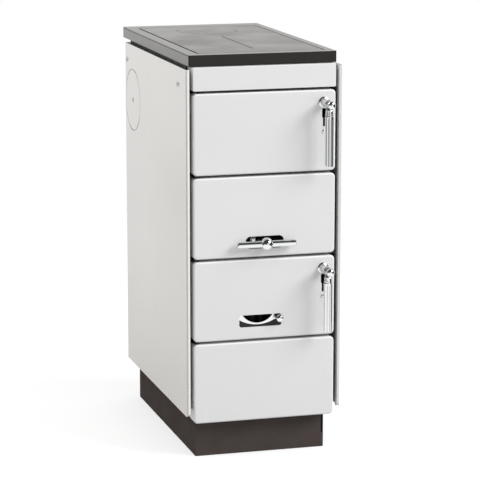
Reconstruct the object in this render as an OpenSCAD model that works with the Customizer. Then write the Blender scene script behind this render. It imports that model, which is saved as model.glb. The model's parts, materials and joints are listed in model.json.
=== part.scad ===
// Narrow free-standing wood-burning kitchen stove, 850 mm high.
// Origin: on the floor, midway across the width. X is right, the doors face -Y, Z is up. Millimetres.

/* [Overall] */
// Height of the hob top above the floor
stove_h = 850; // [820:5:900]
// Width over the two side panels
casing_w = 334; // [328:2:380]
// Distance from the origin forward to the front edge of the side panels
front_reach = 300; // [290:5:330]
// Depth of the side panels
panel_d = 538; // [520:2:580]
// Depth of the hob
hob_d = 588; // [570:2:620]

/* [Fronts] */
// How far the drawer front hangs below the plinth's top
front_low = 21.5; // [10:0.5:30]
// Height of the plain strip below the hob
fascia_h = 48.5; // [40:0.5:60]
// Gap between two fronts, one above the other
front_gap = 5.5; // [4:0.5:7]
// Gap between a front and the side panel's folded edge
side_gap = 7.5; // [7:0.5:12]
// How far the fronts stand in front of the panels
front_proud = 0.5; // [0.5:0.5:6]
// How far the plain strip stands in front of the other fronts
fascia_proud = 0.5; // [0:0.5:8]
// Depth of a door pan or drawer pan
pan_d = 32; // [30:0.5:34]
// Corner radius of a front, seen from the front
pan_corner = 9; // [6:0.5:12]
// Rounding of the front edges of a pan
pan_round = 4; // [2:0.5:5]
// Thickness of enamelled sheet
sheet = 1.5; // [1:0.1:2]

/* [Side panels] */
// How far the side panels reach below the plinth's top
panel_low = 6; // [0:1:12]
// Gap between the panels' top and the underside of the hob
panel_top_gap = 5; // [2:0.5:8]
// Width of the folded front edge
fold_w = 7; // [6:0.5:8]
// Depth of the return behind the folded edge
fold_d = 12; // [8:0.5:16]
// Radius of the scored circle for a side flue
score_r = 68; // [66:0.5:68.5]
// Distance from the panel's back edge to the flue centre
flue_inset = 70; // [70:1:82]
// Distance from the top of the hob down to the flue centre
flue_drop = 149; // [140:1:160]

/* [Hob] */
// Thickness of the hob frame
hob_t = 23; // [20:1:28]
// Distance from a side panel's outer face in to the hob's side
hob_side = 9; // [4:0.5:12]
// Setback of the hob front behind the panels' front edge
hob_setback = 12; // [8:1:20]
// Width of the frame left of the plate
rim_left = 27; // [20:0.5:30]
// Width of the frame right of the plate
rim_right = 20; // [16:0.5:30]
// Width of the frame behind the plate
rim_back = 45; // [30:1:60]
// Thickness of the cast hob plate
plate_t = 8; // [6:0.5:10]
// Width of the frame in front of the plate
plate_front = 27; // [24:1:34]
// Groove between the plate and its frame
plate_gap = 2.5; // [1:0.1:4]
// Radius of the round lid
lid_r = 67; // [60:1:72]
// Distance from the lid back to the plate's edge
lid_back = 18.5; // [10:0.5:30]
// Distance from the hob front to the expansion slot
slot_front = 90; // [60:1:110]
// Length of the expansion slot
slot_l = 240; // [160:5:250]
// Width of the expansion slot
slot_w = 2.5; // [2:0.5:4]

/* [Body] */
// Height of the plinth
plinth_h = 101; // [93:1:106]
// Distance from a side panel's outer face in to the plinth's side
plinth_side = 26; // [22:1:32]
// Setback of the plinth front behind the panels' front edge
plinth_setback = 33.5; // [33.5:0.5:40]
// Width of the plinth's top flange
plinth_flange = 22; // [16:1:30]
// Depth of the returns at the sides of the plinth front
plinth_return = 18; // [12:1:24]
// Distance from a side panel's outer face in to the steel body
body_gap = 10; // [9:0.5:12]
// Thickness of the body plates
wall = 3; // [2:0.5:4]
// Distance from the body's back plate to the panels' back edge
body_inset = 8; // [6:1:9]
// Thickness of the front frame
frame_t = 6; // [5:0.5:8]
// Distance from the pans' back edge to the front frame
seal_gap = 10; // [8:0.5:12]
// Width of the latch space between a door's right edge and its opening
latch_space = 44; // [43:1:50]
// Margin from a door's edge to its opening, above and below
open_margin = 13; // [12.5:0.5:16]
// Outer radius of the flue spigot
flue_r = 59; // [55:1:60]
// Length of the flue spigot behind the body
flue_l = 52; // [40:1:60]
// Wall of the flue spigot
flue_wall = 3; // [2:0.5:4]

/* [Firebox] */
// Thickness of a side brick
brick_t = 30; // [24:1:32]
// Thickness of the cast firebox floor
floor_t = 26; // [24:1:28]
// Thickness of the grate
grate_t = 14; // [12:0.5:15]
// Length of the grate
grate_l = 228; // [200:2:230]
// Distance from the door opening's side in to the grate's side
grate_side = 17; // [13:1:30]
// Thickness of the front brick
front_brick_t = 24; // [20:1:26]
// How far the grate is pulled when it is riddled
grate_travel = 40; // [30:1:42]
// Radius of the pull rod
rod_r = 5; // [4:0.5:6]

/* [Ash pan and drawer] */
// Height of the ash pan
ash_pan_h = 78; // [60:1:100]
// Side clearance of the ash pan in its opening
ash_pan_side = 4; // [3:0.5:8]
// Distance from the front frame back to the ash pan
ash_pan_set = 28; // [26:1:40]
// Distance from the side of the drawer front in to the drawer box
drawer_side = 16; // [14:1:24]
// Distance from the origin back to the drawer's rear wall
drawer_back = 180; // [140:5:190]
// Width of the ledge of a drawer runner under the box
runner_w = 10; // [6:1:14]

/* [Handles] */
// Distance from a door's right edge to the latch spindle
latch_in = 25.5; // [22:0.5:26]
// Distance from a door's top edge down to the latch spindle
latch_drop = 26; // [24:0.5:32]
// Radius of the latch spindle
spindle_r = 4; // [3.5:0.1:4.5]
// Distance from the door face forward to the grip
grip_reach = 36; // [27:0.5:40]
// Length of the grip below its ferrule
grip_l = 104; // [90:1:115]
// Width of the grip
grip_w = 17.5; // [16:0.5:22]
// Thickness of the grip
grip_t = 13; // [10:0.5:14]
// Distance from the spindle axis down to the grip's ferrule
ferrule_drop = 2.5; // [0:0.5:6]
// Length of the pull bar
bar_l = 126; // [110:1:140]
// Radius of the pull bar
bar_r = 7; // [5:0.5:7]
// Radius of the ball on the pull bar
ball_r = 13.5; // [12:0.5:14]

/* [Air slide] */
// Width of the air slot
air_w = 91.5; // [80:0.5:96]
// Height of the air slot
air_h = 25.5; // [22:0.5:28]
// Sideways shift of the air slot
air_shift = -9; // [-12:0.5:0]
// Travel of the air slide
air_travel = 55; // [40:1:58]
// Radius of the air knob
air_knob_r = 8; // [6:0.5:9]

/* [Hinges] */
// Distance from a door's left edge to its hinge axis
hinge_in = 9; // [8.5:0.1:10]
// Distance from the door face back to its hinge axis
hinge_back = 14; // [13:0.1:15]
// Radius of a hinge pin
hinge_pin_r = 3.5; // [3:0.1:4]
// Radial running clearance of pins, rods and spindles
running = 0.05; // [0.03:0.01:0.08]
// Clearance between parts that slide or lie loose
loose = 0.3; // [0.25:0.05:0.5]

/* [Hidden] */

panel_x = casing_w / 2;
hob_w = casing_w - 2 * hob_side;
plate_w = hob_w - rim_left - rim_right;
plate_l = hob_d - plate_front - 2 * plate_gap - rim_back;
plate_shift = (rim_left - rim_right) / 2;
plinth_w = casing_w - 2 * plinth_side;
panel_y = -front_reach;
front_z0 = plinth_h - front_low;
panel_z0 = plinth_h - panel_low;
panel_back = panel_y + panel_d;
panel_z1 = stove_h - hob_t - panel_top_gap;
fold_x = panel_x - fold_w;
face_y = panel_y - front_proud;
pan_y = face_y + pan_d;
frame_y = pan_y + seal_gap;
frame_back = frame_y + frame_t;
door_half = fold_x - side_gap;
fascia_clear = 1;
fascia_half = door_half;
pitch = (stove_h - hob_t - fascia_clear - fascia_h - front_z0) / 4;
front_h = pitch - front_gap;
open_half = door_half - latch_space;
grate_half = open_half - grate_side;
drawer_z = front_z0;
ash_z = front_z0 + pitch;
cover_z = front_z0 + 2 * pitch;
fuel_z = front_z0 + 3 * pitch;
fascia_z = front_z0 + 4 * pitch;
body_top = stove_h - hob_t;
body_x = panel_x - body_gap;
body_back = panel_back - body_inset;
inner_x = body_x - wall;
flue_z = stove_h - flue_drop;
flue_y = panel_back - flue_inset;
hob_y = panel_y + hob_setback;
plate_y = hob_y + plate_front + plate_gap;
plate_z = stove_h - plate_t;
ledge = 10;
seal_t = 2;
lid_y = plate_y + plate_l - lid_back - lid_r;
lid_step = 7;
shelf_z = ash_z + open_margin - wall;
floor_top = cover_z + 37;
floor_z = floor_top - floor_t;
rod_z = floor_top - 8;
grate_z = floor_top - grate_t - 2;
brick_y = frame_back;
firebox_back = 70;
partition_y = firebox_back + brick_t;
grate_back = firebox_back - 30;
grate_front = grate_back - grate_l;
hinge_x = -door_half + hinge_in;
hinge_y = face_y + hinge_back;
hinge_plate_t = 3;
hinge_plate_r = 7;
hinge_foot = 15;
bush_l = 12;
spindle_x = door_half - latch_in;
cam_t = 4;
cam_y = face_y + 16.5;
cam_reach = 15;
keeper_side = 1;
keeper_lift = 0.5;
keeper_t = 3;
keeper_h = 14;
keeper_clear = 3;
shield_t = 4;
shield_off = 18;
shield_side = 11;
shield_margin = 8;
guide_t = 3;
guide_h = 12;
lip_y = cam_y - keeper_lift - keeper_t;
rosette_l = 10;
hub_y = face_y - rosette_l - loose;
grip_y = face_y - grip_reach;
hub_front = 11;
slot_half_w = 41;
slot_half_h = 13;
pull_slot_z = cover_z + 30.5;
bar_y = face_y - 0.5 - ball_r;
air_z = ash_z + 39;
lip_t = 1.2;
air_plate_t = 1.5;
air_front = face_y + sheet + loose;
drawer_half = door_half - drawer_side;
runner_back = drawer_back - 2 * runner_w;
runner_z = plinth_h + 6;
spacer_r = 6;
screw_r = 2;
screw_front = 65;
screw_back = 18;
screw_down = 36;
screw_y = [panel_y + screw_front, panel_back - screw_back];
screw_z = panel_z1 - screw_down;
big = 1200;

// Building shapes

// Rectangle with round corners, centred, in the XY plane
module round_rect(w, h, r) {
  square([w - 2 * r, h], center = true);
  square([w, h - 2 * r], center = true);
  for (sx = [-1, 1], sy = [-1, 1])
    translate([sx * (w / 2 - r), sy * (h / 2 - r)]) circle(r = r, $fn = 48);
}

// Flat plate with round corners that faces the front, centred at x and z, from y over depth d
module front_plate(x, y, z, w, h, d, r) {
  translate([x, y + d, z]) rotate([90, 0, 0]) linear_extrude(height = d) round_rect(w, h, r);
}

// Cylinder along Y from y0 to y1
module rod_y(x, z, y0, y1, r) {
  translate([x, y0, z]) rotate([-90, 0, 0]) cylinder(r = r, h = y1 - y0, $fn = 64);
}

// Cylinder along X from x0 to x1
module rod_x(y, z, x0, x1, r) {
  translate([x0, y, z]) rotate([0, 90, 0]) cylinder(r = r, h = x1 - x0, $fn = 64);
}

// Box between two corners
module box(a, b) {
  translate(a) cube(b - a);
}

// Sheet-metal front: round corners and edges, open at the back
module pan(z, half, h, d, rc, re) {
  points = concat([[0, d], [0, 0]],
    [for (a = [0 : 15 : 90]) [rc - re + re * sin(a), re - re * cos(a)]], [[rc, d]]);
  difference() {
    hull() for (sx = [-1, 1], sz = [0, 1])
      translate([sx * (half - rc), face_y, z + rc + sz * (h - 2 * rc)]) rotate([-90, 0, 0])
        rotate_extrude($fn = 32) polygon(points);
    front_plate(0, face_y + re, z + h / 2, 2 * (half - sheet), h - 2 * sheet, d, rc - sheet);
    front_plate(0, face_y + sheet, z + h / 2, 2 * (half - sheet - re / 2), h - 2 * sheet - re,
      re, rc - sheet);
  }
}

// Holes in a door pan for the spindle, the stop slot and the two hinge pins
module door_holes(z) {
  rod_y(spindle_x, latch_z(z), face_y - 1, face_y + 5, spindle_r + running);
  front_plate(spindle_x, face_y - 1, latch_z(z) - stop_drop, stop_w, stop_h, 5, stop_w / 2 - 0.01);
  front_plate(spindle_x, face_y - 1, latch_z(z) - stop_drop + (stop_h - key_h) / 2, key_w, key_h,
    5, 3);
  rod_y(spindle_x, latch_z(z) - screw_drop, face_y - 1, face_y + 5, screw_r);
  translate([hinge_x, hinge_y, z - 1])
    cylinder(r = hinge_pin_r + running, h = front_h + 2, $fn = 48);
}
stop_drop = 31.5;
stop_w = 4.6;
stop_h = 38;
key_w = 8.6;
key_h = 20;
screw_drop = stop_drop + stop_h / 2 + 9;
function latch_z(z) = z + front_h - latch_drop;

// Inner plate of a door, inside the pan, leaving the latch side free
module door_liner(z) {
  left = -door_half + sheet;
  right = open_half + 14;
  height = front_h - 2 * sheet;
  front_plate((left + right) / 2, pan_y - 3, z + front_h / 2, right - left, height, 3, 12);
}

// Flattened rope seal round a door opening
module door_seal(z) {
  w = 2 * open_half + 8;
  h = front_h - 2 * open_margin + 8;
  difference() {
    front_plate(0, pan_y, z + front_h / 2, w + 16, h + 16 - 8, seal_gap - loose, 11);
    front_plate(0, pan_y - 1, z + front_h / 2, w, h - 8, seal_gap + 2, 6);
  }
}

// Bushes that the hinge pins turn in, at the top and bottom of a door
module door_bushes(z) {
  seat = sheet + 0.2;
  for (b = [z + sheet, z + front_h - sheet - bush_l]) difference() {
    intersection() {
      translate([hinge_x, hinge_y, b]) cylinder(r = hinge_plate_r, h = bush_l, $fn = 48);
      front_plate(0, hinge_y - 9, z + front_h / 2, 2 * (door_half - seat), front_h - 2 * seat,
        18, pan_corner - sheet);
    }
    translate([hinge_x, hinge_y, b - 1])
      cylinder(r = hinge_pin_r + running, h = bush_l + 2, $fn = 48);
  }
}

// Flared rosette that carries the latch spindle
module rosette(z) {
  translate([spindle_x, face_y, latch_z(z)]) rotate([90, 0, 0]) difference() {
    rotate_extrude($fn = 64) polygon([[0, 0], [12, 0], [12, 1.5], [11, 2.8], [9.2, 3.8], [8.2, 5.5],
      [8, 8], [7.4, rosette_l], [0, rosette_l]]);
    translate([0, 0, -1]) cylinder(r = spindle_r + running, h = rosette_l + 2, $fn = 48);
  }
}

// Round-headed screw in the door, below the stop slot
module door_screw(z) {
  translate([spindle_x, face_y, latch_z(z) - screw_drop]) rotate([90, 0, 0])
    rotate_extrude($fn = 48) polygon([[0, -6], [screw_r, -6], [screw_r, 0], [3.6, 0], [3.4, 1.2],
      [2.6, 2.2], [1.3, 2.7], [0, 2.8]]);
}

// Lever handle: hub on the spindle, ringed ferrule and fluted grip
module handle(z) {
  zs = latch_z(z);
  top = -22 - ferrule_drop;
  translate([spindle_x, 0, zs]) difference() {
    union() {
      rod_y(0, 0, grip_y - hub_front, hub_y, 8.2);
      translate([0, grip_y, top]) rotate_extrude($fn = 64) polygon([[0, -2], [9, -2], [9.2, -1],
        [9, 0.4], [8.2, 1.2], [8.2, 2], [8.8, 2.8], [8.8, 4.4], [8.1, 5.2], [8, 10], [8.5, 10.8],
        [8.5, 12], [7.9, 13], [7.5, 16], [7, 19], [7, -top], [0, -top]]);
      difference() {
        translate([0, grip_y, top - grip_l]) linear_extrude(height = grip_l)
          round_rect(grip_w, grip_t, 5);
        for (sx = [-1, 1]) translate([sx * 3, grip_y - grip_t / 2 - 0.6, top - grip_l - 1])
          cylinder(r = 1.9, h = grip_l - 5, $fn = 32);
        for (sx = [-1, 1]) translate([sx * (grip_w / 2 - 4), 0, top - grip_l + 4])
          grip_corner(sx);
      }
    }
    rod_y(0, 0, grip_y - hub_front - 3, hub_y + 1, spindle_r);
  }
}

// Cutter that rounds one lower corner of the grip
module grip_corner(sx) {
  r = 4;
  translate([0, grip_y, 0]) rotate([90, 0, 0]) difference() {
    translate([sx > 0 ? 0 : -r - 2, -r - 2, -grip_t]) cube([r + 2, r + 2, 2 * grip_t]);
    translate([0, 0, -grip_t - 1]) cylinder(r = r, h = 2 * grip_t + 2, $fn = 48);
  }
}

// Spindle with its domed nut in front of the handle
module spindle(z) {
  nut_y = grip_y - hub_front;
  translate([spindle_x, 0, latch_z(z)]) {
    rod_y(0, 0, nut_y, cam_y + cam_t, spindle_r);
    translate([0, nut_y, 0]) rotate([90, 0, 0]) rotate_extrude($fn = 64) polygon(concat([[0, 0]],
      [for (a = [0 : 10 : 90]) [8.8 * cos(a), 3 + 7 * sin(a)]]));
    translate([0, nut_y, 0]) rotate([90, 0, 0]) cylinder(r = 8.2, h = 3, $fn = 64);
  }
}

// Latch cam on the spindle's inner end; its tongue hangs 20 degrees below level
module cam(z) {
  translate([spindle_x, 0, latch_z(z)]) difference() {
    union() {
      rod_y(0, 0, cam_y, cam_y + cam_t, 6.5);
      rotate([0, 20, 0]) box([0, cam_y, -4.5], [cam_reach, cam_y + cam_t, 4.5]);
    }
    rod_y(0, 0, cam_y - 1, cam_y + cam_t + 1, spindle_r);
  }
}

// Hinge plate: flat eye in the gap between two fronts, with a foot on the front frame
module hinge_plate(z, up) {
  difference() {
    union() {
      translate([hinge_x, hinge_y, z]) cylinder(r = hinge_plate_r, h = hinge_plate_t, $fn = 48);
      box([hinge_x - hinge_plate_r, hinge_y, z],
        [hinge_x + hinge_plate_r, frame_y, z + hinge_plate_t]);
      box([hinge_x - hinge_plate_r, frame_y - 3, up ? z : z + hinge_plate_t - hinge_foot],
        [hinge_x + hinge_plate_r, frame_y, up ? z + hinge_foot : z + hinge_plate_t]);
    }
    translate([hinge_x, hinge_y, z - 1])
      cylinder(r = hinge_pin_r, h = hinge_plate_t + 2, $fn = 48);
  }
}
function gap_z(z) = z - front_gap / 2 - hinge_plate_t / 2;

// Keeper on the front frame: its lip stands above the resting tongue
module keeper(z) {
  zs = latch_z(z);
  arm_x = spindle_x + cam_reach + keeper_side;
  box([arm_x - keeper_h, frame_y - keeper_t, zs - keeper_h],
    [arm_x + keeper_t, frame_y, zs + keeper_h]);
  box([arm_x, lip_y, zs + keeper_clear], [arm_x + keeper_t, frame_y, zs + keeper_h]);
  box([spindle_x + cam_reach / 2, lip_y, zs + keeper_clear],
    [arm_x + keeper_t, lip_y + keeper_t, zs + keeper_h]);
}

// Left side panel's section in plan, with its folded front edge
module panel_section() {
  corner = 4.5;
  translate([-panel_x, panel_y + corner]) square([sheet, panel_d - corner]);
  translate([-panel_x + corner, panel_y + corner]) intersection() {
    difference() {
      circle(r = corner, $fn = 48);
      circle(r = corner - sheet, $fn = 48);
    }
    translate([-corner, -corner]) square(corner);
  }
  translate([-panel_x + corner, panel_y]) square([fold_w - corner, sheet]);
  translate([-fold_x - sheet, panel_y]) square([sheet, fold_d]);
}

// One side panel: sheet, folded edge, top flange, scored circle and screw holes
module side_panel() {
  bottom_r = 8;
  score_w = 2.4;
  score_deep = 0.9;
  pry_r = 3;
  pry_rise = 2.5;
  difference() {
    union() {
      translate([0, 0, panel_z0]) linear_extrude(height = panel_z1 - panel_z0) panel_section();
      box([-panel_x + sheet / 2, panel_y + sheet / 2, panel_z1 - sheet],
        [-body_x, panel_back, panel_z1]);
    }
    rod_x_ring(flue_y, flue_z, -panel_x - 1, -panel_x + score_deep, score_r, score_w);
    hull() for (s = [-1, 1])
      rod_x(flue_y, flue_z + s * pry_rise, -panel_x - 1, -panel_x + sheet + 1, pry_r);
    for (y = screw_y) rod_x(y, screw_z, -panel_x - 1, -panel_x + sheet + 1, screw_r);
    difference() {
      box([-panel_x - 1, panel_y - 1, panel_z0 - 1],
        [-fold_x + 1, panel_y + bottom_r, panel_z0 + bottom_r]);
      rod_x(panel_y + bottom_r, panel_z0 + bottom_r, -panel_x - 2, -fold_x + 2, bottom_r);
    }
    box([-fold_x - 0.01, panel_y - 1, panel_z1 - sheet - 0.01], [-body_x + 1, frame_y, panel_z1 + 1]);
  }
}

// Thin ring along X, for scoring
module rod_x_ring(y, z, x0, x1, r, w) {
  difference() {
    rod_x(y, z, x0, x1, r + w / 2);
    rod_x(y, z, x0 - 1, x1 + 1, r - w / 2);
  }
}

// Plinth

module plinth_frame() {
  x = plinth_w / 2;
  y0 = panel_y + plinth_setback + sheet;
  y1 = panel_back - 3;
  color("#3f3733") difference() {
    box([-x, y0, 0], [x, y1, plinth_h]);
    box([-x + sheet, y0 - 1, sheet], [x - sheet, y1 - sheet, plinth_h - sheet]);
    box([-x + plinth_flange, y0 - 1, 2 * sheet],
      [x - plinth_flange, y1 - plinth_flange, plinth_h + 1]);
  }
}

module plinth_front() {
  x = plinth_w / 2;
  y0 = panel_y + plinth_setback;
  slit_edge = 2;
  slit_width = 3;
  slit_low = 30;
  slit_top = 26;
  color("#3f3733") difference() {
    union() {
      box([-x, y0, 0], [x, y0 + sheet, plinth_h - 1]);
      for (s = [-1, 1]) box([s * (x - 1.5 * sheet) - sheet / 2, y0, sheet],
        [s * (x - 1.5 * sheet) + sheet / 2, y0 + plinth_return, plinth_h - sheet]);
    }
    box([x - slit_edge - slit_width, y0 - 1, slit_low],
      [x - slit_edge, y0 + plinth_return + 1, plinth_h - slit_top]);
  }
}

// Steel body

module body_shell() {
  side_r = flue_r - 2;
  color("#2b2927") difference() {
    union() {
      for (s = [-1, 1]) box([s > 0 ? inner_x : -body_x, frame_back, plinth_h],
        [s > 0 ? body_x : -inner_x, body_back, body_top]);
      box([-inner_x, body_back - wall, plinth_h], [inner_x, body_back, body_top]);
      box([-inner_x, frame_back, plinth_h], [inner_x, body_back - wall, plinth_h + wall]);
    }
    rod_x(flue_y, flue_z, -body_x - 1, body_x + 1, side_r);
    rod_y(0, flue_z, body_back - wall - 1, body_back + 1, flue_r - flue_wall + 1.5);
  }
}

module front_frame() {
  color("#2b2927") difference() {
    box([-body_x, frame_y, plinth_h], [body_x, frame_back, body_top]);
    for (z = [ash_z, fuel_z]) front_plate(0, frame_y - 1, z + front_h / 2, 2 * open_half,
      front_h - 2 * open_margin, frame_t + 2, 4);
    box([-drawer_half - 4, frame_y - 1, plinth_h + wall + 2],
      [drawer_half + 4, frame_back + 1, drawer_z + front_h - 5]);
    rod_y(0, rod_z, frame_y - 1, frame_back + 1, rod_r + 0.4);
  }
}

module ash_shelf() {
  color("#2b2927") {
    box([-inner_x, frame_back, shelf_z], [inner_x, body_back - wall, shelf_z + wall]);
    for (s = [-1, 1]) box([s * (open_half - guide_t / 2) - guide_t / 2, frame_back, shelf_z + wall],
      [s * (open_half - guide_t / 2) + guide_t / 2, partition_y, shelf_z + wall + guide_h]);
  }
}

module firebox_floor() {
  color("#35322f") difference() {
    box([-inner_x, frame_back, floor_z], [inner_x, body_back - wall, floor_top]);
    box([-grate_half - 1.5, grate_front - grate_travel - 4, grate_z - loose],
      [grate_half + 1.5, grate_back + 2, floor_top + 1]);
    box([-grate_half + 12, grate_front + 24, floor_z - 1],
      [grate_half - 12, grate_back - 20, floor_top + 1]);
    box([-rod_r - 1, frame_back - 1, rod_z - rod_r - 1],
      [rod_r + 1, grate_front - grate_travel, floor_top + 1]);
    box([-inner_x + 20, partition_y + wall + 10, floor_z + 6],
      [inner_x - 20, body_back - wall - 10, floor_top + 1]);
  }
}

// Side brick with a chamfered front edge
module brick(s) {
  top = body_top - 27;
  color("#b9a684") difference() {
    box([s > 0 ? inner_x - brick_t : -inner_x, brick_y, floor_top],
      [s > 0 ? inner_x : -inner_x + brick_t, partition_y, top]);
    translate([s * (inner_x - brick_t), brick_y - 1, top]) rotate([0, 45, 0])
      cube([8, big, 8], center = true);
  }
}

module brick_left() {
  brick(-1);
}

module brick_right() {
  brick(1);
}

module brick_back() {
  x = inner_x - brick_t;
  color("#b9a684") difference() {
    box([-x, firebox_back, floor_top], [x, partition_y, flue_z - 11]);
    translate([0, firebox_back, flue_z - 11]) rotate([45, 0, 0])
      cube([big, 8, 8], center = true);
  }
}

module brick_front() {
  x = inner_x - brick_t;
  color("#b9a684") difference() {
    box([-x, brick_y, floor_top], [x, brick_y + front_brick_t, fuel_z - 2]);
    translate([0, brick_y + front_brick_t, fuel_z - 2]) rotate([45, 0, 0])
      cube([big, 8, 8], center = true);
  }
}

module flue_partition() {
  color("#2b2927") union() {
    box([-inner_x, partition_y, floor_top], [inner_x, partition_y + wall, flue_z - 1]);
    box([-inner_x + brick_t, partition_y - front_brick_t, flue_z - wall - 1],
      [inner_x - brick_t, partition_y, flue_z - 1]);
  }
}

module flue_collar() {
  color("#35322f") translate([0, body_back, flue_z]) rotate([-90, 0, 0]) difference() {
    rotate_extrude($fn = 96) polygon([[0, 0], [flue_r + 14, 0], [flue_r + 14, 3], [flue_r + 3, 3],
      [flue_r, 6], [flue_r, flue_l], [0, flue_l]]);
    translate([0, 0, -1]) cylinder(r = flue_r - flue_wall, h = flue_l + 2, $fn = 96);
  }
}

// Blanking cover on one side of the body, behind the scored circle
module flue_cover(s) {
  color("#35322f") translate([s > 0 ? body_x : -body_x - 2, flue_y, flue_z]) rotate([90, 0, 90])
    linear_extrude(height = 2) round_rect(2 * flue_r + 4, 2 * flue_r + 32, 8);
}

module flue_cover_left() {
  flue_cover(-1);
}

module flue_cover_right() {
  flue_cover(1);
}

module flue_bolts() {
  head = 2.5;
  color("#8d8a84") {
    for (s = [-1, 1], sy = [-1, 1], sz = [-1, 1])
      rod_x(flue_y + sy * (flue_r - 8), flue_z + sz * (flue_r + 8),
        s > 0 ? body_x + 2 : -body_x - 2 - head, s > 0 ? body_x + 2 + head : -body_x - 2, 3);
    for (a = [45 : 90 : 315]) rod_y((flue_r + 9) * cos(a), flue_z + (flue_r + 9) * sin(a),
      body_back + 3, body_back + 3 + head, 3);
  }
}

// Casing

module back_cover() {
  x = body_x - 7;
  z0 = plinth_h + 15;
  z1 = body_top - 17;
  vent_w = 70;
  vent_h = 3;
  vent_x = 60;
  vent_low = 60;
  vent_step = 14;
  screw_in = 14;
  color("#3a3734") difference() {
    box([-x, body_back, z0], [x, panel_back, z1]);
    box([-x + 1, body_back - 1, z0 + 1], [x - 1, panel_back - 1, z1 - 1]);
    rod_y(0, flue_z, panel_back - 2, panel_back + 1, flue_r + 4);
    for (i = [0 : 7], s = [-1, 1])
      translate([s * vent_x - vent_w / 2, panel_back - 2, z0 + vent_low + vent_step * i])
        cube([vent_w, 4, vent_h]);
    for (s = [-1, 1], z = [z0 + screw_in, z1 - screw_in])
      rod_y(s * (x - screw_in), z, panel_back - 2, panel_back + 1, screw_r);
  }
}

module side_panel_left() {
  color("#d8d8d2") side_panel();
}

module side_panel_right() {
  color("#d8d8d2") mirror([1, 0, 0]) side_panel();
}

module panel_spacers() {
  spacer_low = 44;
  color("#8d8a84") for (s = [-1, 1], y = screw_y, z = [panel_z0 + spacer_low, screw_z])
    difference() {
      rod_x(y, z, s > 0 ? body_x : -panel_x + sheet, s > 0 ? panel_x - sheet : -body_x, spacer_r);
      if (z == screw_z) rod_x(y, z, -big, big, screw_r);
    }
}

// Cross recess, its depth along Z
module cross_recess() {
  for (a = [0, 90]) rotate([0, 0, a]) cube([4.2, 0.9, 2.4], center = true);
}

// Pan-headed screw along X, outside a side panel
module casing_screw(s, y, z) {
  translate([s * panel_x, y, z]) rotate([0, s * 90, 0]) difference() {
    rotate_extrude($fn = 48) polygon([[0, body_x - panel_x], [screw_r, body_x - panel_x],
      [screw_r, 0], [4.2, 0], [4, 1], [3, 1.8], [0, 2.2]]);
    translate([0, 0, 2.2]) cross_recess();
  }
}

module casing_screws() {
  x = body_x - 7;
  z0 = plinth_h + 15;
  z1 = body_top - 17;
  screw_in = 14;
  color("#b8b8b4") {
    for (s = [-1, 1], y = screw_y) casing_screw(s, y, screw_z);
    for (s = [-1, 1], z = [z0 + screw_in, z1 - screw_in]) {
      rod_y(s * (x - screw_in), z, body_back, panel_back, screw_r);
      difference() {
        rod_y(s * (x - screw_in), z, panel_back, panel_back + 2, 4);
        translate([s * (x - screw_in), panel_back + 2, z]) rotate([90, 0, 0]) cross_recess();
      }
    }
  }
}

module fascia() {
  h = body_top - fascia_clear - fascia_z;
  color("#e6e7e8") translate([0, -fascia_proud, 0])
    pan(fascia_z, fascia_half, h, frame_y - face_y + fascia_proud, 3, 1.4);
}

module firebox_cover() {
  color("#e6e7e8") difference() {
    pan(cover_z, door_half, front_h, frame_y - face_y, pan_corner, pan_round);
    front_plate(0, face_y - 1, pull_slot_z, 2 * slot_half_w, 2 * slot_half_h, 6, 10);
  }
}

module hinge_plates() {
  color("#4a4744") {
    hinge_plate(gap_z(ash_z), true);
    hinge_plate(gap_z(cover_z), false);
    hinge_plate(gap_z(fuel_z), true);
    hinge_plate(gap_z(fascia_z), false);
  }
}

module hinge_pins() {
  reach = hinge_plate_t + (front_gap - hinge_plate_t) / 2 + sheet + bush_l - 1;
  color("#b8b8b4") for (z = [ash_z, fuel_z]) {
    translate([hinge_x, hinge_y, gap_z(z)]) cylinder(r = hinge_pin_r, h = reach, $fn = 48);
    translate([hinge_x, hinge_y, gap_z(z + pitch) + hinge_plate_t - reach])
      cylinder(r = hinge_pin_r, h = reach, $fn = 48);
  }
}

module latch_keepers() {
  color("#8d8a84") {
    keeper(ash_z);
    keeper(fuel_z);
  }
}

module drawer_runners() {
  color("#8d8a84") for (s = [-1, 1]) {
    box([s > 0 ? drawer_half - runner_w : -inner_x, frame_back, runner_z - 2],
      [s > 0 ? inner_x : -drawer_half + runner_w, runner_back, runner_z]);
    box([s > 0 ? inner_x - 2 : -inner_x, frame_back, runner_z],
      [s > 0 ? inner_x : -inner_x + 2, runner_back, runner_z + 2 * runner_w]);
  }
}

// Hob

module hob_frame() {
  edge = 4;
  y1 = hob_y + hob_d;
  open_w = plate_w + 2 * plate_gap - 2 * ledge;
  open_l = plate_l + 2 * plate_gap - 2 * ledge;
  mid = plate_y - plate_gap + plate_l / 2 + plate_gap;
  color("#3b3835") difference() {
    translate([0, (hob_y + y1) / 2, body_top]) linear_extrude(height = hob_t)
      round_rect(hob_w, hob_d, edge);
    translate([plate_shift, mid, plate_z - seal_t]) linear_extrude(height = hob_t)
      round_rect(plate_w + 2 * plate_gap, plate_l + 2 * plate_gap, 4);
    translate([plate_shift, mid, body_top - 1]) linear_extrude(height = hob_t)
      round_rect(open_w, open_l, 4);
  }
}

module hob_seal() {
  mid = plate_y + plate_l / 2;
  color("#77736b") translate([plate_shift, mid, plate_z - seal_t])
    linear_extrude(height = seal_t) difference() {
      round_rect(plate_w - 1, plate_l - 1, 4);
      round_rect(plate_w - 13, plate_l - 13, 4);
    }
}

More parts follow.
